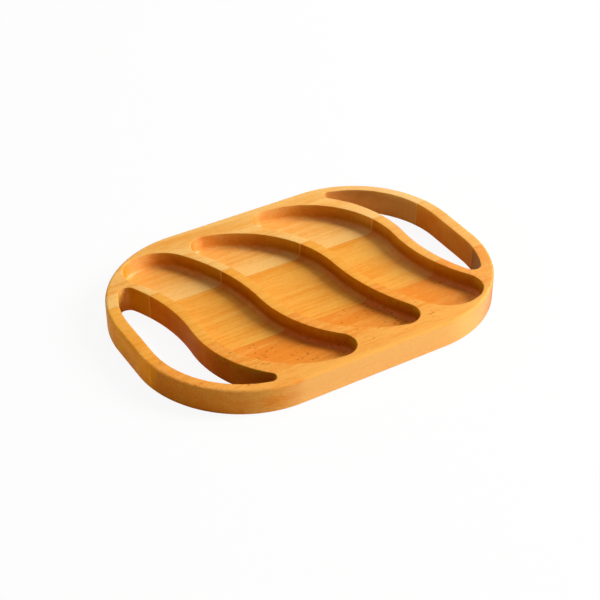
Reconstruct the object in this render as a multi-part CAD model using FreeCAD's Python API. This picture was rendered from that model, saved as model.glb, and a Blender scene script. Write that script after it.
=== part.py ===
import FreeCAD, Part
import math
import os

# Divided serving tray in solid beech, cut from a board that is glued up from
# three wide staves laid side by side along its length.
# Three pockets with upright walls and a coved foot lie side by side in it.
# They are kept apart by ribs that swing in an S from the front to the back.
# A slot runs right through the board beyond each outer pocket, follows the
# same S on its inner side and leaves a grip bar at the end of the tray.
# The tray looks the same after half a turn about its centre.
# Millimetres. X along the tray, Y from front to back, Z up.
# The origin is the centre of the underside.

# Board
LENGTH = 350.0
WIDTH = 245.0
THICKNESS = 26.0
CORNER_RADIUS = 102.0
TOP_EDGE_ROUND = 2.5
BOTTOM_EDGE_CHAMFER = 1.0

# Glue lines between the staves
BACK_GLUE_LINE_Y = 47.5
FRONT_GLUE_LINE_Y = -41.0

# Pockets
FLOOR_THICKNESS = 10.0
COVE_RADIUS = 5.0
COVE_FLATS = 6
OPENING_EDGE_CHAMFER = 0.6
POCKET_END_RADIUS = 15.5

# Middle pocket, where its walls cross from one swing of the S to the other
MIDDLE_POCKET_WIDTH = 74.4
MIDDLE_END_SHIFT = 48.0
MIDDLE_END_RIM = 17.0

# Rib between the middle pocket and each outer pocket
RIB_WIDTH = 10.4
RIB_CROSSING_SHIFT = 5.4
RIB_LEAN = 1.4

# Outer pocket: its near end is round, its far end has a wider shoulder
OUTER_POCKET_WIDTH = 63.3
OUTER_END_SHIFT = 23.0
OUTER_END_RIM = 8.9
OUTER_TIP_RADIUS = 20.4
OUTER_TIP_RIM = 5.2
OUTER_TIP_ANGLE = 123.8
SHOULDER_RADIUS = 37.2
SHOULDER_ANGLE = 116.6

# Rib between the outer pocket and the handle slot
GRIP_RIB_WIDTH = 10.7
GRIP_RIB_CROSSING_SHIFT = 15.5
GRIP_RIB_LEAN = -4.9

# Handle slot
GRIP_WIDTH = 12.2
SLOT_SIDE_RADIUS = 88.8
SLOT_TIP_RADIUS = 5.5
SLOT_TIP_RIM = 9.1
SLOT_TIP_ANGLE = -104.5
SLOT_END_RADIUS = 8.1
SLOT_END_RIM = 11.4
SLOT_END_ANGLE = 150.0

# Values worked out from the sizes above
HALF_LENGTH = LENGTH / 2
HALF_WIDTH = WIDTH / 2
CORNER_X = HALF_LENGTH - CORNER_RADIUS
CORNER_Y = HALF_WIDTH - CORNER_RADIUS
POCKET_DEPTH = THICKNESS - FLOOR_THICKNESS

# The cove keeps clear of the top of its wall and of the pocket's tightest end
COVE_SHARE = 0.9
COVE = min(COVE_RADIUS, POCKET_DEPTH * COVE_SHARE, POCKET_END_RADIUS * COVE_SHARE)

UPRIGHT = FreeCAD.Vector(0, 0, 1)
CENTRE = FreeCAD.Vector(0, 0, 0)


def toward(angle):
    """Unit vector in the plane of the board at an angle from +X, in degrees."""
    turn = math.radians(angle)
    return FreeCAD.Vector(math.cos(turn), math.sin(turn), 0)


def inside_corner(side, end, angle, rim, radius):
    """Centre of a circle that leaves a rim inside one rounded corner of the board."""
    corner = FreeCAD.Vector(side * CORNER_X, end * CORNER_Y, 0)
    return corner + toward(angle) * (CORNER_RADIUS - rim - radius)


def swing_radius(crossing, outward, end_centre, end_radius):
    """Radius of the arc from a crossing point that runs smoothly into an end circle.

    It is positive where the wall bulges out of the opening and negative
    where the wall bulges into it.
    """
    span = end_centre - crossing
    reach = outward.dot(span) + end_radius
    return (end_radius ** 2 - span.dot(span)) / (2 * reach)


def swing(crossing, outward, end_centre, end_radius):
    """Circle (centre, signed radius) of one swing of an S wall."""
    radius = swing_radius(crossing, outward, end_centre, end_radius)
    return crossing - outward * radius, radius


def touching_normal(first, second):
    """Outward direction at the point where two circles of a loop touch."""
    centre, radius = first
    next_centre, next_radius = second
    step = next_centre - centre
    if abs(radius - next_radius) < 1e-9:
        along = step.normalize()
        return FreeCAD.Vector(along.y, -along.x, 0)
    return (step * (1 / (radius - next_radius))).normalize()


def tangent_loop(circles):
    """Closed wire, anticlockwise, along circles that touch one after the other.

    Neighbours of the same radius are joined by a straight side.
    """
    count = len(circles)
    normals = [touching_normal(circles[i], circles[(i + 1) % count]) for i in range(count)]
    edges = []
    for i, (centre, radius) in enumerate(circles):
        start_angle = math.atan2(normals[i - 1].y, normals[i - 1].x)
        end_angle = math.atan2(normals[i].y, normals[i].x)
        sweep = (end_angle - start_angle) % (2 * math.pi)
        if radius < 0:
            sweep -= 2 * math.pi
        middle = toward(math.degrees(start_angle + sweep / 2))
        previous_centre, previous_radius = circles[i - 1]
        start = centre + normals[i - 1] * radius
        end = centre + normals[i] * radius
        if abs(radius - previous_radius) < 1e-9:
            side_start = previous_centre + normals[i - 1] * previous_radius
            edges.append(Part.LineSegment(side_start, start).toShape())
        edges.append(Part.Arc(start, centre + middle * radius, end).toShape())
    return Part.Wire(Part.sortEdges(edges)[0])


def outline_at(circles, inset, height):
    """A loop of touching circles drawn in by an inset, at a height above the base."""
    wire = tangent_loop([(centre, radius - inset) for centre, radius in circles])
    wire.translate(UPRIGHT * height)
    return wire


def solid_within(circles, rim):
    """Solid inside a loop. Its rim is given from the bottom up, as insets and heights."""
    wires = [outline_at(circles, inset, height) for inset, height in rim]
    return Part.makeLoft(wires, True, True)


def board_circles():
    """Rounded rectangle of the board."""
    corners = [(1, -1), (1, 1), (-1, 1), (-1, -1)]
    centres = [FreeCAD.Vector(x * CORNER_X, y * CORNER_Y, 0) for x, y in corners]
    return [(centre, CORNER_RADIUS) for centre in centres]


def middle_pocket_circles():
    """S-sided pocket that is its own image after half a turn."""
    end_y = HALF_WIDTH - MIDDLE_END_RIM - POCKET_END_RADIUS
    back_end = FreeCAD.Vector(-MIDDLE_END_SHIFT, end_y, 0)
    front_end = -back_end
    crossing = FreeCAD.Vector(MIDDLE_POCKET_WIDTH / 2, RIB_CROSSING_SHIFT, 0)
    outward = toward(RIB_LEAN)
    front_swing = swing(crossing, outward, front_end, POCKET_END_RADIUS)
    back_swing = swing(crossing, outward, back_end, POCKET_END_RADIUS)
    half = [(front_end, POCKET_END_RADIUS), front_swing, back_swing]
    other_half = [(-centre, radius) for centre, radius in half]
    return half + other_half


def left_rib_crossing():
    """Crossing point of the outer pocket's wall on the rib beside the middle pocket."""
    return FreeCAD.Vector(-MIDDLE_POCKET_WIDTH / 2 - RIB_WIDTH, -RIB_CROSSING_SHIFT, 0)


def grip_rib_crossing(from_pocket):
    """Crossing point on the rib beside the slot, a distance beyond the pocket's wall."""
    pocket_wall_x = left_rib_crossing().x - OUTER_POCKET_WIDTH
    return FreeCAD.Vector(pocket_wall_x - from_pocket, -GRIP_RIB_CROSSING_SHIFT, 0)


def left_pocket_circles():
    """Outer pocket: round at the front, with a tip and a shoulder at the back."""
    front_y = -(HALF_WIDTH - OUTER_END_RIM - POCKET_END_RADIUS)
    front_end = FreeCAD.Vector(-OUTER_END_SHIFT, front_y, 0)
    tip = inside_corner(-1, 1, OUTER_TIP_ANGLE, OUTER_TIP_RIM, OUTER_TIP_RADIUS)
    shoulder = tip - toward(SHOULDER_ANGLE) * (SHOULDER_RADIUS - OUTER_TIP_RADIUS)
    inner = left_rib_crossing()
    inner_outward = toward(RIB_LEAN)
    outer = grip_rib_crossing(0)
    outer_outward = toward(180 + GRIP_RIB_LEAN)
    return [
        (front_end, POCKET_END_RADIUS),
        swing(inner, inner_outward, front_end, POCKET_END_RADIUS),
        swing(inner, inner_outward, shoulder, SHOULDER_RADIUS),
        (shoulder, SHOULDER_RADIUS),
        (tip, OUTER_TIP_RADIUS),
        swing(outer, outer_outward, tip, OUTER_TIP_RADIUS),
        swing(outer, outer_outward, front_end, POCKET_END_RADIUS),
    ]


def slot_side(end_centre, end_radius, side):
    """Circle beside the grip bar that runs into one end of the slot."""
    centre_x = -(HALF_LENGTH - GRIP_WIDTH - SLOT_SIDE_RADIUS)
    reach = SLOT_SIDE_RADIUS - end_radius
    rise = math.sqrt(reach ** 2 - (end_centre.x - centre_x) ** 2)
    return FreeCAD.Vector(centre_x, end_centre.y - side * rise, 0), SLOT_SIDE_RADIUS


def left_slot_circles():
    """Handle slot with a narrow tip in front and a rounder end at the back."""
    tip = inside_corner(-1, -1, SLOT_TIP_ANGLE, SLOT_TIP_RIM, SLOT_TIP_RADIUS)
    end = inside_corner(-1, 1, SLOT_END_ANGLE, SLOT_END_RIM, SLOT_END_RADIUS)
    crossing = grip_rib_crossing(GRIP_RIB_WIDTH)
    outward = toward(GRIP_RIB_LEAN)
    return [
        (tip, SLOT_TIP_RADIUS),
        swing(crossing, outward, tip, SLOT_TIP_RADIUS),
        swing(crossing, outward, end, SLOT_END_RADIUS),
        (end, SLOT_END_RADIUS),
        slot_side(end, SLOT_END_RADIUS, 1),
        slot_side(tip, SLOT_TIP_RADIUS, -1),
    ]


def half_turn(shape):
    """Copy of a shape after half a turn about the tray's centre."""
    turned = shape.copy()
    turned.rotate(CENTRE, UPRIGHT, 180)
    return turned


def flat_face(solid, height):
    """Largest horizontal face of a solid at one height."""
    faces = [
        face for face in solid.Faces
        if face.BoundBox.ZLength < 1e-6 and abs(face.BoundBox.ZMin - height) < 1e-6
    ]
    return max(faces, key=lambda face: face.Area)


def cove():
    """Insets and heights of the cove from the floor up to the wall.

    They lie on a quarter round, and narrow flats join them.
    """
    step = math.radians(90) / COVE_FLATS
    return [
        (COVE * (1 - math.sin(i * step)), FLOOR_THICKNESS + COVE * (1 - math.cos(i * step)))
        for i in range(COVE_FLATS + 1)
    ]


def opening_edge(height, outward):
    """Insets and heights of the chamfer where an opening leaves a face of the board.

    It runs on past the face. Outward is 1 at the top and -1 at the underside.
    """
    start = (0, height - outward * OPENING_EDGE_CHAMFER)
    end = (-2 * OPENING_EDGE_CHAMFER, height + outward * OPENING_EDGE_CHAMFER)
    return [start, end]


def pocket_cutter(circles):
    """What the router takes out for a pocket, with the cove at the foot of its walls."""
    return solid_within(circles, cove() + opening_edge(THICKNESS, 1))


def slot_cutter(circles):
    """What the router takes out for a handle slot, right through the board."""
    return solid_within(circles, opening_edge(0, -1)[::-1] + opening_edge(THICKNESS, 1))


def rounded_board():
    """The glued-up board before routing, with its outer edges eased."""
    rim = [(BOTTOM_EDGE_CHAMFER, 0), (0, BOTTOM_EDGE_CHAMFER), (0, THICKNESS)]
    board = solid_within(board_circles(), rim)
    return board.makeFillet(TOP_EDGE_ROUND, flat_face(board, THICKNESS).OuterWire.Edges)


def carved_board():
    """The board after routing the pockets and the handle slots."""
    left_pocket = pocket_cutter(left_pocket_circles())
    left_slot = slot_cutter(left_slot_circles())
    return rounded_board().cut([
        pocket_cutter(middle_pocket_circles()),
        left_pocket,
        half_turn(left_pocket),
        left_slot,
        half_turn(left_slot),
    ])


def stave_solids(board, front_y, back_y):
    """Solids of the board between two glue lines, from left to right."""
    corner = FreeCAD.Vector(-LENGTH, front_y, -THICKNESS)
    slab = Part.makeBox(2 * LENGTH, back_y - front_y, 3 * THICKNESS, corner)
    return sorted(board.common(slab).Solids, key=lambda solid: solid.CenterOfMass.x)


def tray_pieces():
    """Every glued piece of the tray by name."""
    board = carved_board()
    back = stave_solids(board, BACK_GLUE_LINE_Y, WIDTH)
    middle = stave_solids(board, FRONT_GLUE_LINE_Y, BACK_GLUE_LINE_Y)
    front = stave_solids(board, -WIDTH, FRONT_GLUE_LINE_Y)
    grip_left, stave_middle, grip_right = middle
    return {
        "stave_back": back[0],
        "stave_middle": stave_middle,
        "stave_front": front[0],
        "grip_left": grip_left,
        "grip_right": grip_right,
    }


os.makedirs("parts", exist_ok=True)
for name, solid in tray_pieces().items():
    solid.exportStep("parts/" + name + ".step")
    print(name, "volume", round(solid.Volume), "faces", len(solid.Faces), "valid", solid.isValid())
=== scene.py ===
import math
from typing import NamedTuple

import bpy
from mathutils import Color, Matrix, Vector


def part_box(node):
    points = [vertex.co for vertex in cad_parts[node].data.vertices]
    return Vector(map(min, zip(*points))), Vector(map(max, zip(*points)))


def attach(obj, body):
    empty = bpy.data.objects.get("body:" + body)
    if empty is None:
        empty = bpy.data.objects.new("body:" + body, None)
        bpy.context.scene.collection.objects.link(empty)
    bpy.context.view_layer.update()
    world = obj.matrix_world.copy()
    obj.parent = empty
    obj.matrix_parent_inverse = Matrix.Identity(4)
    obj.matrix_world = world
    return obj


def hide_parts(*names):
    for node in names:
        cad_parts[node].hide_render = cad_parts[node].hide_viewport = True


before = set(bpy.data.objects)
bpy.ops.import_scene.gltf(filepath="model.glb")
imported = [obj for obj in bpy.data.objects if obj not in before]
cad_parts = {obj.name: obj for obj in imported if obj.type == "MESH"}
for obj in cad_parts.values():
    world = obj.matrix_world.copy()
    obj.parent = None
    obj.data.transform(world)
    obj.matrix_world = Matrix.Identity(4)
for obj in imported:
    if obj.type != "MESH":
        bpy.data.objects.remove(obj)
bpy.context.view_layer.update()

bl_info = {
    "name": "Divided Serving Tray",
    "version": (1, 0, 0),
    "blender": (4, 5, 0),
    "location": "View3D > Sidebar > Serving Tray",
    "description": "Finishes the glued beech staves of a divided serving tray and lights them in a studio",
    "category": "Object",
}

MILLIMETRE = 0.001

# Places are in millimetres, x to the right and y to the back from the board's centre, and z up
# from its underside. In a pair of limits, something begins at the first and is full at the second.

# Glue lines, at the front and the back of the middle stave
MIDDLE_LOW, MIDDLE_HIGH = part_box("stave_middle")
FRONT_LINE_Y = MIDDLE_LOW.y / MILLIMETRE
BACK_LINE_Y = MIDDLE_HIGH.y / MILLIMETRE
SEAM_REACH = (0.40, 0.12)
SEAM_COVER = 0.45
PALE_EDGE_REACH = (0.65, 0.25)
PALE_EDGE_SHIFT = 0.55
BELOW_TOP_Z = (25.6, 24.8)

# The grain wanders over so many millimetres across the board, and rises by a part of that
WANDER_REACH = 9.0
WANDER_RISE = 0.5

# Late wood, which comes and ends over these parts of a year
LATE_WOOD_COMES = (0.35, 0.90)
LATE_WOOD_ENDS = (1.0, 0.92)
LATE_WOOD_MEAN = 0.4

# Depth of colour, from the palest wood at 0 to the deepest at 1, and what each pattern adds to it
MEAN_DEPTH = 0.42
CLOUD_DEPTH = 1.5
BAND_DEPTH = 0.85
STREAK_DEPTH = 1.4
HAIR_DEPTH = 0.8
RING_DEPTH = 0.18
HEART_DEPTH = 0.42
SAP_DEPTH = -0.42

# Heartwood and sapwood: how soft and ragged their edges are, and how near its line sapwood lies
HEART_EDGE = 10.0
HEART_RAGGED = 40.0
SAP_REACH = (30.0, 4.0)
SAP_EDGE = 5.0
OFF_BOARD_X = -200.0
OFF_BOARD_Y = 150.0

# Painted light: a painted sheen at the right end, where the end grain is drawn lighter too, and painted
# light on walls of the lit side
SHEEN_END_X = (70.0, 150.0)
SHEEN_END_COVER = 0.55
SHEEN_END_CALM = 0.6
LIT_SIDE_FACING = (0.88, 0.98)

# Pores and flecks: dashes that fill part of a cell, in some of the cells
DASH_REACH = (0.44, 0.20)
PORE_CHANCE = 0.45
PORE_COVER = 0.34
FLECK_COVER = 0.80
FLECK_Y = (-116.0, -100.0)
CLUSTER_NOISE = (0.0, 0.10)
LONE_FLECKS = 0.2

# End grain, on faces that are upright and turn to the ends, with painted light on it near the left end and
# at both front corners
END_GRAIN_FACING = (0.12, 0.95)
UPRIGHT_FACING = (0.9, 0.0)
# Painted light near the left end: end grain drawn lighter, where the floor lights the hand slot and the
# left side
LEFT_LIGHT_X = (-110.0, -124.0)
LEFT_LIGHT_Y = (-62.0, -42.0)
LEFT_LIGHT_COVER = 0.5
# Painted shade and sheen on the front left corner
LEFT_SHADE_SHEEN_X_PLUS_Y = (-214.0, -222.0)
# Painted sheen on the rounded front right corner
RIGHT_SHEEN_Y = (-60.0, -80.0)
RIGHT_SHEEN_FACING_LOW = (0.1, 0.4)
RIGHT_SHEEN_FACING_HIGH = (0.95, 0.7)

# Roughness that each pattern adds to the oil, and how high it stands in the bump
STREAK_ROUGHNESS = 0.30
PORE_ROUGHNESS = 0.10
END_GRAIN_ROUGHNESS = 0.12
HAIR_RELIEF = 1.4
STREAK_RELIEF = 0.8
PORE_RELIEF = -0.6

# Coves, which face upwards more than a wall and less than a floor, and end below this height
COVE_FACING_LOW = (0.15, 0.45)
COVE_FACING_HIGH = (0.99, 0.90)
COVE_TOP_Z = 15.9

# Studio: the floor in metres, its gap under the tray and the camera's sensor in millimetres
FLOOR_SIZE = 8.0
FLOOR_GAP = 0.1
SENSOR_WIDTH = 36.0
CARD_FACING = (0.45, 0.95)


class Pattern(NamedTuple):
    """Pattern drawn out along the grain, with its length and width in millimetres."""

    along: float
    across: float
    seed_shift: float = 0.0
    detail: float = 2.0
    roughness: float = 0.5


WANDER = Pattern(120.0, 60.0, detail=1.0)
CLOUDS = Pattern(110.0, 13.0, seed_shift=3.0, detail=3.0)
BANDS = Pattern(260.0, 3.6, seed_shift=5.0)
STREAKS = Pattern(10.0, 0.9, seed_shift=7.0, detail=3.0, roughness=0.6)
HAIRS = Pattern(5.0, 0.32, seed_shift=9.0, roughness=0.6)
PORES = Pattern(2.6, 0.5)
FLECKS = Pattern(5.5, 2.0, seed_shift=4.0)
CLUSTERS = Pattern(30.0, 16.0, seed_shift=11.0, detail=1.0)

# How far one step of a seed moves a pattern along x, y and z
SEED_STEP = (1.0, 1.7, 0.6)


class GlueLine(NamedTuple):
    """Line where two staves meet, and how pale the wood just behind it is."""

    y: float
    paleness: float = 0.0


FRONT_GLUE = GlueLine(FRONT_LINE_Y)
BACK_GLUE = GlueLine(BACK_LINE_Y, paleness=0.5)


class Log(NamedTuple):
    """Log that a stave was cut from: its colours, its heart, its sapwood, its marks and its shares of
    painted light.
    """

    pale: Color
    deep: Color
    end_tint: Color
    seed: float
    heart_y: float
    heart_z: float
    heart_reach: float
    glue_lines: tuple
    # Shares of painted light: a painted sheen at the right end, and painted light on walls of the lit side
    sheen_end: float
    lit_side: float = 0.0
    sap_y: float = OFF_BOARD_Y
    sap_from_x: float = OFF_BOARD_X
    brown: float = 0.0


def swatch(name, description, colour):
    """Colour that the sidebar shows as a swatch."""
    return bpy.props.FloatVectorProperty(
        name=name, description=description, default=colour, size=3, subtype="COLOR", min=0.0, max=1.0
    )


def length(name, description, millimetres):
    """Length that is given in millimetres and kept in metres."""
    return bpy.props.FloatProperty(
        name=name, description=description, default=millimetres * MILLIMETRE, unit="LENGTH"
    )


def share(name, description, value):
    """Number from 0 to 1."""
    return bpy.props.FloatProperty(
        name=name, description=description, default=value, min=0.0, max=1.0, subtype="FACTOR"
    )


def angle(name, description, degrees):
    """Angle that is given in degrees and kept in radians."""
    return bpy.props.FloatProperty(
        name=name, description=description, default=math.radians(degrees), subtype="ANGLE"
    )


def power(name, description, watts):
    """Power of a lamp."""
    return bpy.props.FloatProperty(name=name, description=description, default=watts, unit="POWER")


def strength(name, description, value):
    """Strength of the light from a part of the room."""
    return bpy.props.FloatProperty(name=name, description=description, default=value, min=0.0)


class Finish(bpy.types.PropertyGroup):
    """How the surface of the wood is eased, sanded and oiled."""

    weld_distance: length("Weld distance", "Corners of the mesh closer than this are joined", 0.002)
    smooth_angle: angle("Smooth angle", "Edges that turn by less than this are shaded soft", 50)
    oil_roughness: share("Oil roughness", "Roughness of the oiled wood between its fibres", 0.30)
    oil_shine: share("Oil shine", "How strongly the oiled wood reflects", 0.015)
    cove_coat: share("Cove coat", "Weight of the coat of oil in the coves", 0.36)
    cove_roughness: share("Cove roughness", "Roughness of the coat of oil in the coves", 0.34)
    fibre_depth: length("Fibre depth", "Height of the sanded fibres that the bump shows", 0.06)


class Timber(bpy.types.PropertyGroup):
    """Colours and figure of the beech in the staves and the grips, and the colours of painted light on
    them.
    """

    back_pale: swatch("Back stave, pale", "Palest wood of the back stave", (0.93, 0.53, 0.158))
    back_deep: swatch("Back stave, deep", "Deepest wood of the back stave", (0.87, 0.36, 0.058))
    middle_pale: swatch("Middle stave, pale", "Palest wood of the middle stave", (0.92, 0.44, 0.074))
    middle_deep: swatch("Middle stave, deep", "Deepest wood of the middle stave", (0.86, 0.305, 0.029))
    front_pale: swatch("Front stave, pale", "Palest wood of the front stave", (0.92, 0.42, 0.084))
    front_deep: swatch("Front stave, deep", "Deepest wood of the front stave", (0.85, 0.262, 0.027))
    right_pale: swatch("Right grip, pale", "Palest wood of the right grip", (0.93, 0.49, 0.120))
    right_deep: swatch("Right grip, deep", "Deepest wood of the right grip", (0.87, 0.35, 0.050))
    # Colour of painted light: a painted sheen at the right end, and painted light on walls of the lit side
    lit: swatch("Lit wood", "Pale wood at the right end and on the fair side", (0.95, 0.61, 0.28))
    pore: swatch("Pore", "Short fine dashes of the rays and pores", (0.52, 0.18, 0.020))
    fleck: swatch("Fleck", "Brown flecks, a few millimetres long", (0.50, 0.125, 0.012))
    glue: swatch("Glue line", "Thin dark line where two staves meet", (0.56, 0.20, 0.025))
    glue_edge: swatch("Glue edge", "Pale edge of the wood along a glue line", (0.95, 0.66, 0.27))
    # Walls that face this way take painted light
    lit_azimuth: angle("Lit side", "Which way the walls of the fair side face, 0 on the right", -75)
    ring_width: length("Ring width", "Growth of the tree in one year", 2.3)
    back_end: swatch("Back stave, end grain", "Tint of its fibres, cut across", (0.57, 0.45, 0.07))
    middle_end: swatch("Middle stave, end grain", "Tint of its fibres, cut across", (0.57, 0.49, 0.08))
    front_end: swatch("Front stave, end grain", "Tint of its fibres, cut across", (0.60, 0.70, 0.15))
    grip_end: swatch("Grips, end grain", "Tint of their fibres, cut across", (0.84, 0.64, 0.14))
    # Painted light near the left end: end grain drawn lighter, where the floor lights the hand slot and
    # the left side
    left_end_light: swatch("Left end, end grain", "Tint of end grain near the left end", (0.90, 0.80, 0.10))
    # Painted shade and sheen on the front left corner
    left_corner_shade_sheen: swatch("Front left corner", "Tint of its end grain", (0.63, 0.565, 0.33))
    # Painted sheen on the rounded front right corner
    right_corner_sheen: swatch("Front right corner", "Tint of its end grain", (0.45, 0.45, 0.75))


class Studio(bpy.types.PropertyGroup):
    """Camera, lamps and room."""

    azimuth: angle("Azimuth", "Where the camera stands around the tray, 0 in front of it", -31.364)
    elevation: angle("Elevation", "Height of the camera above the horizon", 36.73)
    roll: angle("Roll", "Tilt of the camera about its own view", 0.077)
    distance: length("Distance", "From the camera to the point that it looks at", 1345.37)
    target_across: length("Target, left to right", "Point on the floor that the camera looks at", -0.492)
    target_deep: length("Target, front to back", "Point on the floor that the camera looks at", 2.533)
    lens: bpy.props.FloatProperty(
        name="Lens", description="Focal length on a sensor 36 mm wide", default=88.343, unit="CAMERA"
    )
    key_power: power("Key lamp", "Tall soft lamp on the right and a little in front", 191.0)
    key_azimuth: angle("Key lamp azimuth", "Where the key lamp stands, 0 on the right", -25)
    key_elevation: angle("Key lamp elevation", "Height of the key lamp above the horizon", 33)
    top_power: power("Top lamp", "Tall soft lamp overhead", 34.0)
    top_azimuth: angle("Top lamp azimuth", "Where the top lamp leans to, 0 on the right", 50)
    top_elevation: angle("Top lamp elevation", "Height of the top lamp above the horizon", 70)
    lamp_width: length("Lamp width", "Width of each lamp", 1010)
    lamp_height: length("Lamp height", "Height of each lamp", 2475)
    lamp_distance: length("Lamp distance", "From the tray to each lamp", 3600)
    room_colour: swatch("Room colour", "Colour of the light from the room", (1.0, 0.93, 0.62))
    room_light: strength("Room light", "Strength of the even light from above", 0.04)
    wall_light: strength("Wall light", "Strength of the light from the pale walls all round", 0.4)
    card_light: strength("Card light", "Strength of the light from a pale card on the left", 5.5)
    card_azimuth: angle("Card azimuth", "Where the card stands, 0 on the right", 165)
    wall_height: angle("Wall height", "How high the walls and the card reach above the horizon", 13)
    floor_shade: share("Floor", "How much of the light the floor gives back", 0.86)
    floor_shadow: share("Floor shadow", "How much of the shade on the floor is seen", 0.08)


class Wire:
    """A shader value that is worked with like a number."""

    def __init__(self, graph, socket):
        self.graph = graph
        self.socket = socket

    def maths(self, operation, *numbers):
        """Math node on one or two numbers."""
        return self.graph.add("ShaderNodeMath", {"operation": operation}, dict(enumerate(numbers)))

    def output(self, name):
        """Another output of the same node."""
        return Wire(self.graph, self.socket.node.outputs[name])

    def __add__(self, other):
        return self.maths("ADD", self, other)

    def __radd__(self, other):
        return self.maths("ADD", other, self)

    def __sub__(self, other):
        return self.maths("SUBTRACT", self, other)

    def __rsub__(self, other):
        return self.maths("SUBTRACT", other, self)

    def __mul__(self, other):
        return self.maths("MULTIPLY", self, other)

    def __rmul__(self, other):
        return self.maths("MULTIPLY", other, self)

    def __truediv__(self, other):
        return self.maths("DIVIDE", self, other)

    def __rtruediv__(self, other):
        return self.maths("DIVIDE", other, self)

    def __pow__(self, other):
        return self.maths("POWER", self, other)

    def __rpow__(self, other):
        return self.maths("POWER", other, self)

    def __mod__(self, other):
        return self.maths("FLOORED_MODULO", self, other)

    def __rmod__(self, other):
        return self.maths("FLOORED_MODULO", other, self)

    def __abs__(self):
        return self.maths("ABSOLUTE", self)

    def __lt__(self, other):
        return self.maths("LESS_THAN", self, other)

    def __gt__(self, other):
        return self.maths("GREATER_THAN", self, other)


class Graph:
    """The nodes of one material or of the world."""

    def __init__(self, tree):
        self.tree = tree
        self.tree.nodes.clear()

    def add(self, kind, settings=None, values=None, output=0):
        """Any node, from its type, its settings and the values or links of its sockets."""
        node = self.tree.nodes.new(kind)
        for name, value in (settings or {}).items():
            setattr(node, name, value)
        for name, value in (values or {}).items():
            if isinstance(value, Wire):
                self.tree.links.new(value.socket, node.inputs[name])
            else:
                node.inputs[name].default_value = value
        return Wire(self, node.outputs[output]) if node.outputs else None

    def parts(self, vector):
        """The three numbers of a vector."""
        first = self.add("ShaderNodeSeparateXYZ", None, {"Vector": vector})
        return first, first.output("Y"), first.output("Z")

    def drawn_out(self, point, pattern, seed):
        """Point on which the pattern is one unit long and wide, moved on by the seed."""
        stretch = (1.0 / pattern.along, 1.0 / pattern.across, 1.0 / pattern.across)
        shift = tuple((seed + pattern.seed_shift) * step for step in SEED_STEP)
        return self.add(
            "ShaderNodeVectorMath", {"operation": "MULTIPLY_ADD"}, {0: point, 1: stretch, 2: shift}
        )

    def noise(self, point, pattern, seed):
        """Noise drawn out along the grain, about nought."""
        cloud = self.add(
            "ShaderNodeTexNoise",
            {"noise_dimensions": "3D"},
            {
                "Vector": self.drawn_out(point, pattern, seed),
                "Scale": 1.0,
                "Detail": pattern.detail,
                "Roughness": pattern.roughness,
            },
        )
        return cloud - 0.5

    def dashes(self, point, pattern, seed, chance):
        """Mask of short dashes along the grain, in some of the cells of the pattern."""
        cells = self.add(
            "ShaderNodeTexVoronoi",
            {"voronoi_dimensions": "3D", "feature": "F1"},
            {"Vector": self.drawn_out(point, pattern, seed), "Scale": 1.0},
        )
        lot = self.add("ShaderNodeSeparateColor", None, {"Color": cells.output("Color")})
        return self.ramp(cells, *DASH_REACH) * (lot < chance)

    def ramp(self, value, low, high):
        """Number eased from 0 to 1 as the value goes from low to high."""
        return self.add(
            "ShaderNodeMapRange",
            {"interpolation_type": "SMOOTHSTEP", "clamp": True},
            {"Value": value, "From Min": low, "From Max": high, "To Min": 0.0, "To Max": 1.0},
        )

    def mix(self, factor, first, second, blend="MIX"):
        """Colour between two colours."""
        colours = [colour if isinstance(colour, Wire) else (*colour, 1.0) for colour in (first, second)]
        return self.add(
            "ShaderNodeMix",
            {"data_type": "RGBA", "blend_type": blend},
            {0: factor, 6: colours[0], 7: colours[1]},
            output=2,
        )


class Place:
    """Where a point of the surface lies on the board, how it faces and how the grain sways there."""

    def __init__(self, graph, seed):
        spot = graph.add("ShaderNodeTexCoord", output="Object")
        self.facing_right, self.facing_back, self.facing_up = graph.parts(spot.output("Normal"))
        self.point = graph.add(
            "ShaderNodeVectorMath", {"operation": "SCALE"}, {"Vector": spot, "Scale": 1.0 / MILLIMETRE}
        )
        self.x, self.y, self.z = graph.parts(self.point)
        wander = graph.noise(self.point, WANDER, seed) * WANDER_REACH
        self.across = self.y + wander
        self.swayed = graph.add(
            "ShaderNodeCombineXYZ",
            None,
            {"X": self.x, "Y": self.across, "Z": self.z + wander * WANDER_RISE},
        )


def growth_rings(graph, place, log, timber):
    """Late wood of each year around the heart of the log, and the distance from that heart."""
    sideways = place.across - log.heart_y
    upwards = place.z - log.heart_z
    reach = (sideways * sideways + upwards * upwards) ** 0.5
    year = (reach / (timber.ring_width / MILLIMETRE)) % 1.0
    late = graph.ramp(year, *LATE_WOOD_COMES) * graph.ramp(year, *LATE_WOOD_ENDS)
    return late, reach


def plain_wood(graph, place, log, timber, streaks, hairs):
    """Wood between the log's palest and its deepest."""
    late, reach = growth_rings(graph, place, log, timber)
    clouds = graph.noise(place.swayed, CLOUDS, log.seed)
    bands = graph.noise(place.swayed, BANDS, log.seed)
    figure = MEAN_DEPTH + clouds * CLOUD_DEPTH + bands * BAND_DEPTH + streaks * STREAK_DEPTH
    figure = figure + hairs * HAIR_DEPTH + (late - LATE_WOOD_MEAN) * RING_DEPTH

    ragged = reach + clouds * HEART_RAGGED
    heartwood = graph.ramp(ragged, log.heart_reach + HEART_EDGE, log.heart_reach - HEART_EDGE)
    sapwood = graph.ramp(abs(place.across - log.sap_y), *SAP_REACH)
    sapwood = sapwood * graph.ramp(place.x, log.sap_from_x - SAP_EDGE, log.sap_from_x + SAP_EDGE)
    depth = graph.ramp(figure + heartwood * HEART_DEPTH + sapwood * SAP_DEPTH, 0.0, 1.0)
    return graph.mix(depth, log.pale, log.deep)


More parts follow.
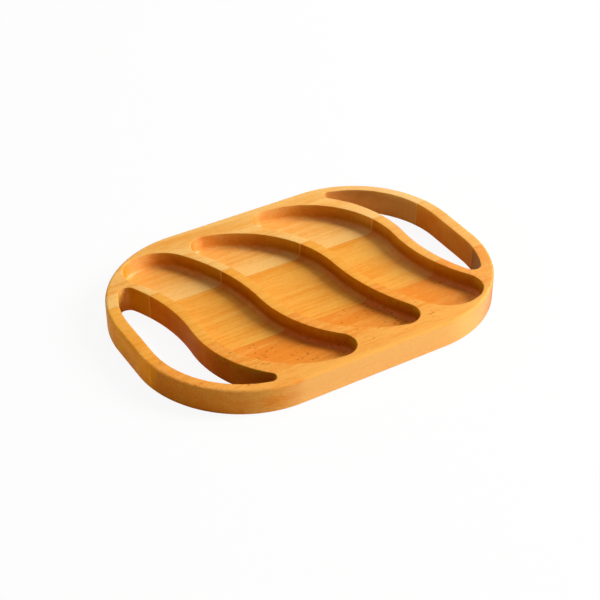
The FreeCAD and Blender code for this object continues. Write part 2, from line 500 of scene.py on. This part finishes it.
def with_painted_light(graph, place, log, timber, painted_sheen_end, wood):
    """The wood with painted light: a painted sheen at the right end, and painted light on the walls of the
    lit side.
    """
    to_right = place.facing_right * math.cos(timber.lit_azimuth)
    to_back = place.facing_back * math.sin(timber.lit_azimuth)
    on_side = graph.ramp(to_right + to_back, *LIT_SIDE_FACING)
    return graph.mix(painted_sheen_end * SHEEN_END_COVER + on_side * log.lit_side, wood, timber.lit)


def with_marks(graph, place, log, timber, pores, wood):
    """The wood with its pores and with clusters of brown flecks, which keep off the front edge."""
    clusters = graph.ramp(graph.noise(place.point, CLUSTERS, log.seed), *CLUSTER_NOISE)
    spread = LONE_FLECKS + clusters * (1.0 - LONE_FLECKS)
    inland = graph.ramp(place.y, *FLECK_Y)
    flecks = graph.dashes(place.swayed, FLECKS, log.seed, log.brown) * spread * inland
    wood = graph.mix(pores * PORE_COVER, wood, timber.pore)
    return graph.mix(flecks * FLECK_COVER, wood, timber.fleck)


def end_grain_share(graph, place, painted_sheen_end):
    """How far a face cuts across the fibres, drawn less at the right end as part of the painted sheen
    there.
    """
    turned = graph.ramp(abs(place.facing_right), *END_GRAIN_FACING)
    upright = graph.ramp(place.facing_up, *UPRIGHT_FACING)
    return turned * upright * (1.0 - painted_sheen_end * SHEEN_END_CALM)


def end_grain_tint_and_light(graph, place, log, timber):
    """Tint of the end grain, with painted light of its own near the left end and at both front corners."""
    # Painted light near the left end
    left_light_cover = graph.ramp(place.x, *LEFT_LIGHT_X) * graph.ramp(place.y, *LEFT_LIGHT_Y)
    tint = graph.mix(left_light_cover * LEFT_LIGHT_COVER, log.end_tint, timber.left_end_light)
    # Painted sheen on the rounded front right corner
    right_sheen_cover = graph.ramp(place.facing_right, *RIGHT_SHEEN_FACING_LOW)
    right_sheen_cover = right_sheen_cover * graph.ramp(place.facing_right, *RIGHT_SHEEN_FACING_HIGH)
    tint = graph.mix(right_sheen_cover * graph.ramp(place.y, *RIGHT_SHEEN_Y), tint, timber.right_corner_sheen)
    # Painted shade and sheen on the front left corner
    left_shade_sheen_cover = graph.ramp(place.x + place.y, *LEFT_SHADE_SHEEN_X_PLUS_Y)
    return graph.mix(left_shade_sheen_cover, tint, timber.left_corner_shade_sheen)


def with_glue_lines(graph, place, log, timber, wood):
    """The wood with a thin seam at each glue line, and its pale edge below the top."""
    below_top = graph.ramp(place.z, *BELOW_TOP_Z)
    for line in log.glue_lines:
        behind = place.y - line.y
        seam = graph.ramp(abs(behind), *SEAM_REACH)
        edge = graph.ramp(abs(behind - PALE_EDGE_SHIFT), *PALE_EDGE_REACH)
        wood = graph.mix(edge * below_top * line.paleness, wood, timber.glue_edge)
        wood = graph.mix(seam * SEAM_COVER, wood, timber.glue)
    return wood


def coves(graph, place):
    """Mask of the coves at the foot of the walls."""
    past_wall = graph.ramp(place.facing_up, *COVE_FACING_LOW)
    short_of_floor = graph.ramp(place.facing_up, *COVE_FACING_HIGH)
    return past_wall * short_of_floor * (place.z < COVE_TOP_Z)


def beech(name, log, timber, finish):
    """Oiled beech of one log, whose figure carries on from the top down the walls, with painted light and
    sheen in places.
    """
    material = bpy.data.materials.new(name)
    material.use_nodes = True
    graph = Graph(material.node_tree)
    place = Place(graph, log.seed)

    streaks = graph.noise(place.swayed, STREAKS, log.seed)
    hairs = graph.noise(place.swayed, HAIRS, log.seed)
    pores = graph.dashes(place.swayed, PORES, log.seed, PORE_CHANCE)
    # Painted sheen at the right end, stronger in some logs than in others
    painted_sheen_end = graph.ramp(place.x, *SHEEN_END_X) * log.sheen_end
    end_grain = end_grain_share(graph, place, painted_sheen_end)

    wood = plain_wood(graph, place, log, timber, streaks, hairs)
    # Painted sheen at the right end and painted light on walls of the lit side
    wood = with_painted_light(graph, place, log, timber, painted_sheen_end, wood)
    wood = with_marks(graph, place, log, timber, pores, wood)
    # End grain tint, with the painted light near the left end and at the front corners
    cut_across_and_lit = graph.mix(1.0, wood, end_grain_tint_and_light(graph, place, log, timber), "MULTIPLY")
    wood = graph.mix(end_grain, wood, cut_across_and_lit)
    wood = with_glue_lines(graph, place, log, timber, wood)

    roughness = finish.oil_roughness + streaks * STREAK_ROUGHNESS + pores * PORE_ROUGHNESS
    relief = hairs * HAIR_RELIEF + streaks * STREAK_RELIEF + pores * PORE_RELIEF
    bump = graph.add(
        "ShaderNodeBump", None, {"Strength": 1.0, "Distance": finish.fibre_depth, "Height": relief}
    )
    surface = graph.add(
        "ShaderNodeBsdfPrincipled",
        None,
        {
            "Base Color": wood,
            "Roughness": roughness + end_grain * END_GRAIN_ROUGHNESS,
            "Normal": bump,
            "Specular IOR Level": finish.oil_shine,
            "Coat Weight": coves(graph, place) * finish.cove_coat,
            "Coat Roughness": finish.cove_roughness,
        },
    )
    graph.add("ShaderNodeOutputMaterial", None, {"Surface": surface})
    return material


def back_log(timber):
    """Pale log of the back stave, with sapwood along its glue line."""
    return Log(
        pale=timber.back_pale,
        deep=timber.back_deep,
        end_tint=timber.back_end,
        seed=2.0,
        heart_y=100.0,
        heart_z=-60.0,
        heart_reach=73.0,
        glue_lines=(BACK_GLUE,),
        sheen_end=0.8,
        lit_side=0.12,
        sap_y=BACK_LINE_Y,
    )


def middle_log(pale, deep, end_tint, sheen_end):
    """Honey-coloured log that the middle stave and both grips were cut from."""
    return Log(
        pale=pale,
        deep=deep,
        end_tint=end_tint,
        seed=11.0,
        heart_y=-70.0,
        heart_z=-90.0,
        heart_reach=60.0,
        glue_lines=(FRONT_GLUE, BACK_GLUE),
        sheen_end=sheen_end,
    )


def front_log(timber):
    """Rosy log of the front stave, with brown flecks and with sapwood along the front edge."""
    return Log(
        pale=timber.front_pale,
        deep=timber.front_deep,
        end_tint=timber.front_end,
        seed=23.0,
        heart_y=-50.0,
        heart_z=-60.0,
        heart_reach=84.0,
        glue_lines=(FRONT_GLUE,),
        sheen_end=0.2,
        lit_side=0.25,
        sap_y=-126.0,
        sap_from_x=-73.0,
        brown=0.44,
    )


def finished_piece(node, name, material, finish):
    """Welded and softly shaded copy of a carved piece, which stands for it."""
    bpy.ops.object.select_all(action="DESELECT")
    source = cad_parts[node]
    piece = source.copy()
    piece.data = source.data.copy()
    piece.name = name
    piece.parent = None
    for key in list(piece.keys()):
        del piece[key]
    bpy.context.scene.collection.objects.link(piece)
    piece.select_set(True)
    bpy.context.view_layer.objects.active = piece
    bpy.ops.object.mode_set(mode="EDIT")
    bpy.ops.mesh.select_all(action="SELECT")
    bpy.ops.mesh.customdata_custom_splitnormals_clear()
    bpy.ops.mesh.remove_doubles(threshold=finish.weld_distance)
    bpy.ops.object.mode_set(mode="OBJECT")
    bpy.ops.object.shade_smooth_by_angle(angle=finish.smooth_angle)
    weighted = piece.modifiers.new("Weighted normals", "WEIGHTED_NORMAL")
    weighted.keep_sharp = True
    bpy.ops.object.modifier_apply(modifier=weighted.name)
    piece.data.materials.clear()
    piece.data.materials.append(material)
    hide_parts(node)
    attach(piece, "root")


class TRAY_OT_staves(bpy.types.Operator):
    """Finish the three staves that carry the pockets"""

    bl_idname = "tray.staves"
    bl_label = "Finish staves"

    def execute(self, context):
        finish = context.scene.tray_finish
        timber = context.scene.tray_timber
        honey = middle_log(timber.middle_pale, timber.middle_deep, timber.middle_end, sheen_end=0.5)
        back = beech("beech_pale_oiled", back_log(timber), timber, finish)
        middle = beech("beech_honey_oiled", honey, timber, finish)
        front = beech("beech_rosy_oiled", front_log(timber), timber, finish)
        finished_piece("stave_back", "back_stave", back, finish)
        finished_piece("stave_middle", "middle_stave", middle, finish)
        finished_piece("stave_front", "front_stave", front, finish)
        return {"FINISHED"}


class TRAY_OT_grips(bpy.types.Operator):
    """Finish the two pieces of the middle stave outside the hand slots"""

    bl_idname = "tray.grips"
    bl_label = "Finish grips"

    def execute(self, context):
        finish = context.scene.tray_finish
        timber = context.scene.tray_timber
        left_log = middle_log(timber.middle_pale, timber.middle_deep, timber.grip_end, sheen_end=0.0)
        right_log = middle_log(timber.right_pale, timber.right_deep, timber.grip_end, sheen_end=0.25)
        left = beech("beech_left_grip_oiled", left_log, timber, finish)
        right = beech("beech_right_grip_oiled", right_log, timber, finish)
        finished_piece("grip_left", "left_grip", left, finish)
        finished_piece("grip_right", "right_grip", right, finish)
        return {"FINISHED"}


def shown_white(graph, shader, whiteness, kind):
    """The shader, but white where the camera, a reflection or glass shows it."""
    seen = graph.add("ShaderNodeLightPath", output="Is Camera Ray")
    shown = seen + seen.output("Is Glossy Ray") + seen.output("Is Transmission Ray")
    cover = graph.ramp(shown, 0.0, 1.0) * whiteness
    white = graph.add(kind, None, {"Color": (1.0, 1.0, 1.0, 1.0), "Strength": 1.0})
    return graph.add("ShaderNodeMixShader", None, {0: cover, 1: shader, 2: white})


def lay_floor(studio):
    """Pale floor just under the tray, on which its shadow shows faintly."""
    bpy.ops.object.select_all(action="DESELECT")
    bpy.ops.mesh.primitive_plane_add(size=FLOOR_SIZE, location=(0.0, 0.0, -FLOOR_GAP * MILLIMETRE))
    floor = bpy.context.object
    floor.name = "studio_floor"
    paper = bpy.data.materials.new("white_paper")
    paper.use_nodes = True
    graph = Graph(paper.node_tree)
    matt = graph.add("ShaderNodeBsdfDiffuse", None, {"Color": (*[studio.floor_shade] * 3, 1.0)})
    seen = shown_white(graph, matt, 1.0 - studio.floor_shadow, "ShaderNodeEmission")
    graph.add("ShaderNodeOutputMaterial", None, {"Surface": seen})
    floor.data.materials.append(paper)


def light_room(studio):
    """Faint even light, with more from the pale walls near the horizon and most from the card."""
    world = bpy.data.worlds.new("room")
    world.use_nodes = True
    bpy.context.scene.world = world
    graph = Graph(world.node_tree)
    direction = graph.add("ShaderNodeTexCoord", output="Generated")
    right, back, rise = graph.parts(direction)
    low = graph.ramp(rise, math.sin(studio.wall_height), 0.0)
    towards_card = right * math.cos(studio.card_azimuth) + back * math.sin(studio.card_azimuth)
    card = graph.ramp(towards_card, *CARD_FACING)
    walls = low * (studio.wall_light + card * studio.card_light)
    room = graph.add(
        "ShaderNodeBackground",
        None,
        {"Color": (*studio.room_colour, 1.0), "Strength": walls + studio.room_light},
    )
    seen = shown_white(graph, room, 1.0, "ShaderNodeBackground")
    graph.add("ShaderNodeOutputWorld", None, {"Surface": seen})


def hang_lamp(name, watts, azimuth, elevation, studio):
    """Tall soft lamp that faces the tray."""
    lamp = bpy.data.lights.new(name, "AREA")
    lamp.shape = "RECTANGLE"
    lamp.size = studio.lamp_width
    lamp.size_y = studio.lamp_height
    lamp.energy = watts
    stand = bpy.data.objects.new(name, lamp)
    bpy.context.scene.collection.objects.link(stand)
    flat = math.cos(elevation)
    towards = Vector((flat * math.cos(azimuth), flat * math.sin(azimuth), math.sin(elevation)))
    stand.location = towards * studio.lamp_distance
    stand.rotation_euler = towards.to_track_quat("Z", "Y").to_euler()


def place_camera(studio):
    """Camera that looks down on the tray from the front left."""
    camera = bpy.data.cameras.new("camera")
    camera.lens = studio.lens
    camera.sensor_width = SENSOR_WIDTH
    eye = bpy.data.objects.new("camera", camera)
    bpy.context.scene.collection.objects.link(eye)
    target = Matrix.Translation((studio.target_across, studio.target_deep, 0.0))
    turn = Matrix.Rotation(studio.azimuth, 4, "Z")
    lean = Matrix.Rotation(math.radians(90) - studio.elevation, 4, "X")
    roll = Matrix.Rotation(studio.roll, 4, "Z")
    back = Matrix.Translation((0.0, 0.0, studio.distance))
    eye.matrix_world = target @ turn @ lean @ roll @ back
    bpy.context.scene.camera = eye


class TRAY_OT_studio(bpy.types.Operator):
    """Set up the floor, the light of the room, both lamps and the camera"""

    bl_idname = "tray.studio"
    bl_label = "Set up studio"

    def execute(self, context):
        studio = context.scene.tray_studio
        lay_floor(studio)
        light_room(studio)
        hang_lamp("key_lamp", studio.key_power, studio.key_azimuth, studio.key_elevation, studio)
        hang_lamp("top_lamp", studio.top_power, studio.top_azimuth, studio.top_elevation, studio)
        place_camera(studio)
        context.scene.view_settings.view_transform = "Standard"
        return {"FINISHED"}


class TRAY_PT_panel(bpy.types.Panel):
    """The tray's pieces and its studio"""

    bl_label = "Serving Tray"
    bl_idname = "TRAY_PT_panel"
    bl_space_type = "VIEW_3D"
    bl_region_type = "UI"
    bl_category = "Serving Tray"

    def draw(self, context):
        for operator in (TRAY_OT_staves, TRAY_OT_grips, TRAY_OT_studio):
            self.layout.operator(operator.bl_idname)
        scene = context.scene
        for group in (scene.tray_finish, scene.tray_timber, scene.tray_studio):
            box = self.layout.box()
            for name in group.__annotations__:
                box.prop(group, name)


CLASSES = (
    Finish,
    Timber,
    Studio,
    TRAY_OT_staves,
    TRAY_OT_grips,
    TRAY_OT_studio,
    TRAY_PT_panel,
)


def register():
    for item in CLASSES:
        bpy.utils.register_class(item)
    bpy.types.Scene.tray_finish = bpy.props.PointerProperty(type=Finish)
    bpy.types.Scene.tray_timber = bpy.props.PointerProperty(type=Timber)
    bpy.types.Scene.tray_studio = bpy.props.PointerProperty(type=Studio)


def unregister():
    del bpy.types.Scene.tray_studio
    del bpy.types.Scene.tray_timber
    del bpy.types.Scene.tray_finish
    for item in reversed(CLASSES):
        bpy.utils.unregister_class(item)


def main():
    register()
    bpy.ops.tray.staves()
    bpy.ops.tray.grips()
    bpy.ops.tray.studio()


if __name__ == "__main__":
    main()
